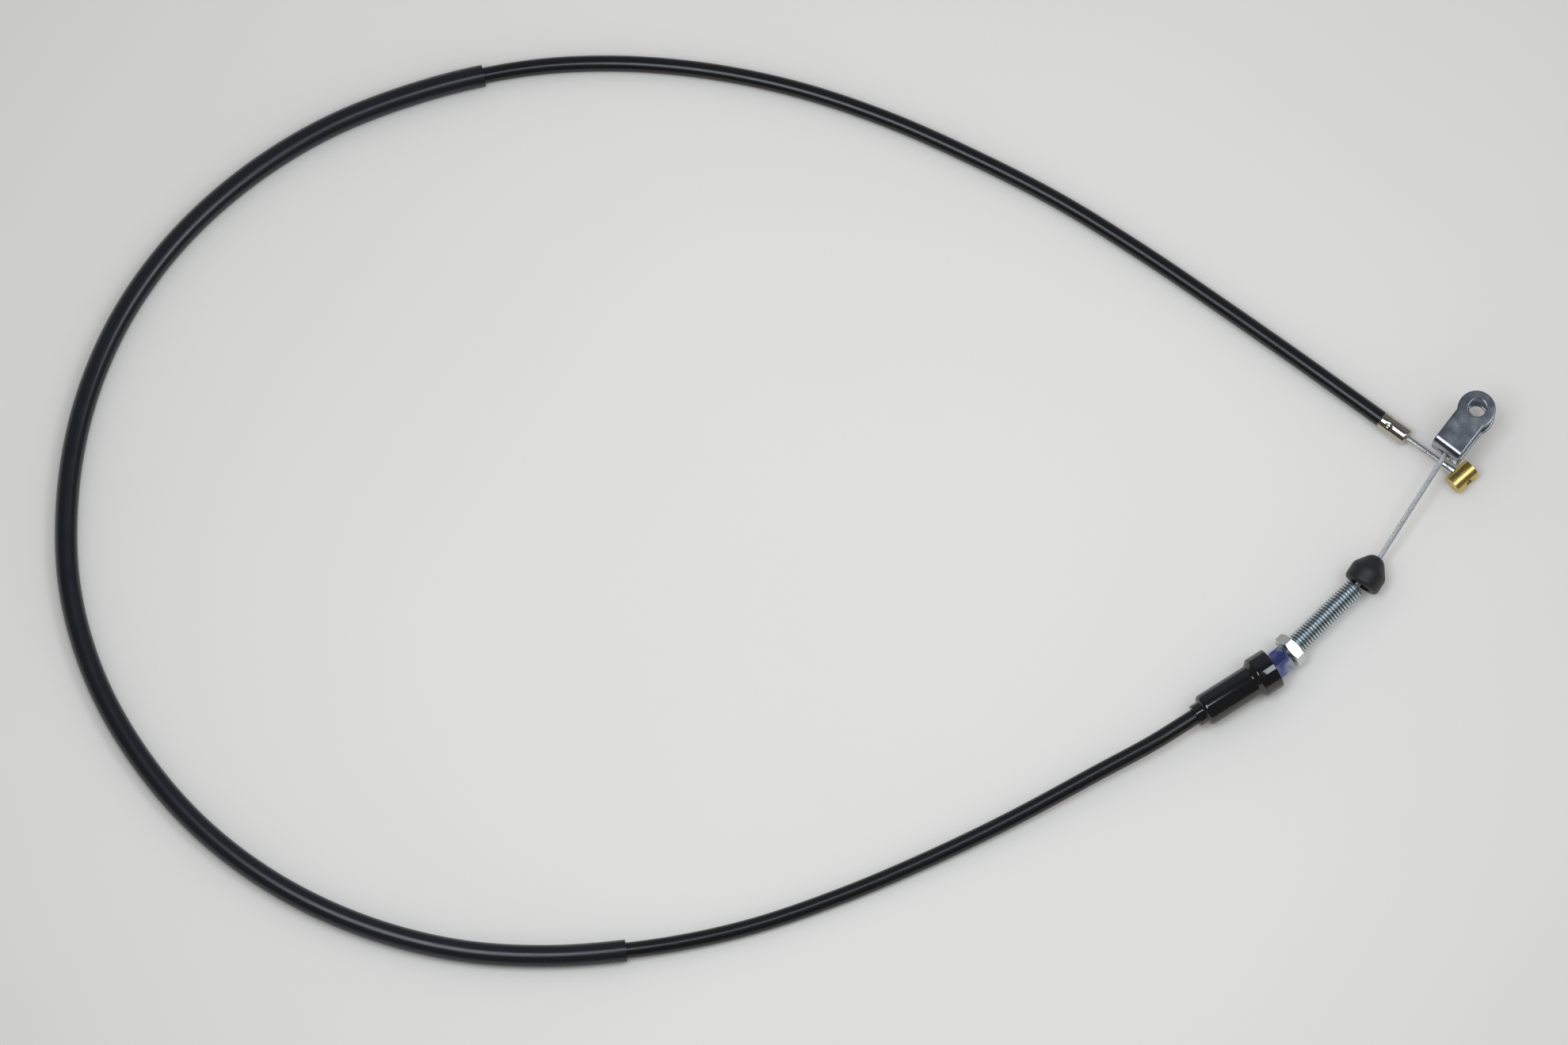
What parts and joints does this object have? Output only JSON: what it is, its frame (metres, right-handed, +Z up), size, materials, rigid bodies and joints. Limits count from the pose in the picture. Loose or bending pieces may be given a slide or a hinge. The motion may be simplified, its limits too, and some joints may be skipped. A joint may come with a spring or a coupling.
{
  "type": "drum brake control cable",
  "caption": "Sheathed control cable with a barrel nipple and ferrule at the lever end and a threaded adjuster, lock nut, dust covers and swivelling clevis at the drum end.",
  "frame": {"origin": "centre of the bounding box on the floor the coiled cable lies on", "axes": "+X along the longer side of the loop towards the crossed ends, +Y away across the loop on the lever-end side, +Z up"},
  "size_m": [0.5395, 0.3587, 0.0241],
  "materials": {
    "barrel_nipple": "turned, satin",
    "nipple_solder": "dull solder",
    "nipple_collar": "plated, satin",
    "lever_wire": "stranded, galvanised",
    "lever_ferrule": "nickel plated, bright",
    "casing_jacket": "satin vinyl",
    "casing_coil": "wound wire",
    "casing_liner": "smooth liner",
    "core_wire": "stranded",
    "guard_sleeve": "satin vinyl tube",
    "adjuster_cover": "glossy moulded rubber",
    "casing_end_cap": "pressed",
    "adjuster_bolt": "bright zinc plating, bluish",
    "lock_nut": "bright zinc plating",
    "dust_cap": "matt rubber",
    "drum_wire": "stranded, galvanised",
    "clevis": "pressed sheet, bright zinc plating",
    "clevis_nipple": "turned",
    "clevis_solder": "dull solder"
  },
  "bodies": {
    "casing": {"casing_jacket": "casing_jacket", "casing_coil": "casing_coil", "casing_liner": "casing_liner", "core_wire": "core_wire", "guard_sleeve": "guard_sleeve", "lever_ferrule": "lever_ferrule", "casing_end_cap": "casing_end_cap"},
    "lever_end": {"barrel_nipple": "barrel_nipple", "nipple_solder": "nipple_solder", "nipple_collar": "nipple_collar", "lever_wire": "lever_wire"},
    "drum_end": {"drum_wire": "drum_wire", "clevis_nipple": "clevis_nipple", "clevis_solder": "clevis_solder"},
    "clevis": {"clevis": "clevis"},
    "dust_cap": {"dust_cap": "dust_cap"},
    "adjuster": {"adjuster_bolt": "adjuster_bolt"},
    "lock_nut": {"lock_nut": "lock_nut"},
    "adjuster_cover": {"adjuster_cover": "adjuster_cover"}
  },
  "joints": [
    {"name": "lever_pull", "type": "slide", "parent": "casing", "child": "lever_end", "axis": [0.7986, -0.6018, 0], "range_m": [0, 0.012]},
    {"name": "drum_pull", "type": "slide", "parent": "casing", "child": "drum_end", "axis": [-0.5369, -0.8436, 0], "range_m": [0, 0.012], "deforming": ["drum_wire"]},
    {"name": "clevis_swivel", "type": "hinge", "parent": "drum_end", "child": "clevis", "pos_m": [0.2501, 0.01935, 0.0145], "axis": [0.6003, 0.7967, 0.0698], "continuous": true},
    {"name": "cap_slide", "type": "slide", "parent": "casing", "child": "dust_cap", "axis": [0.5328, 0.8371, 0.1245], "range_m": [0, 0.01]},
    {"name": "adjuster_turn", "type": "hinge", "parent": "casing", "child": "adjuster", "pos_m": [0.1845, -0.0639, 0.0076], "axis": [0.6984, 0.7157, 0], "continuous": true},
    {"name": "nut_turn", "type": "hinge", "parent": "adjuster", "child": "lock_nut", "pos_m": [0.19253, -0.05567, 0.0076], "axis": [0.6984, 0.7157, 0], "continuous": true},
    {"name": "cover_slide", "type": "slide", "parent": "casing", "child": "adjuster_cover", "axis": [-0.8339, -0.5519, 0], "range_m": [0, 0.015]}
  ],
  "couplings": [
    {"joint": "drum_pull", "follows": "lever_pull", "ratio": 1}
  ]
}
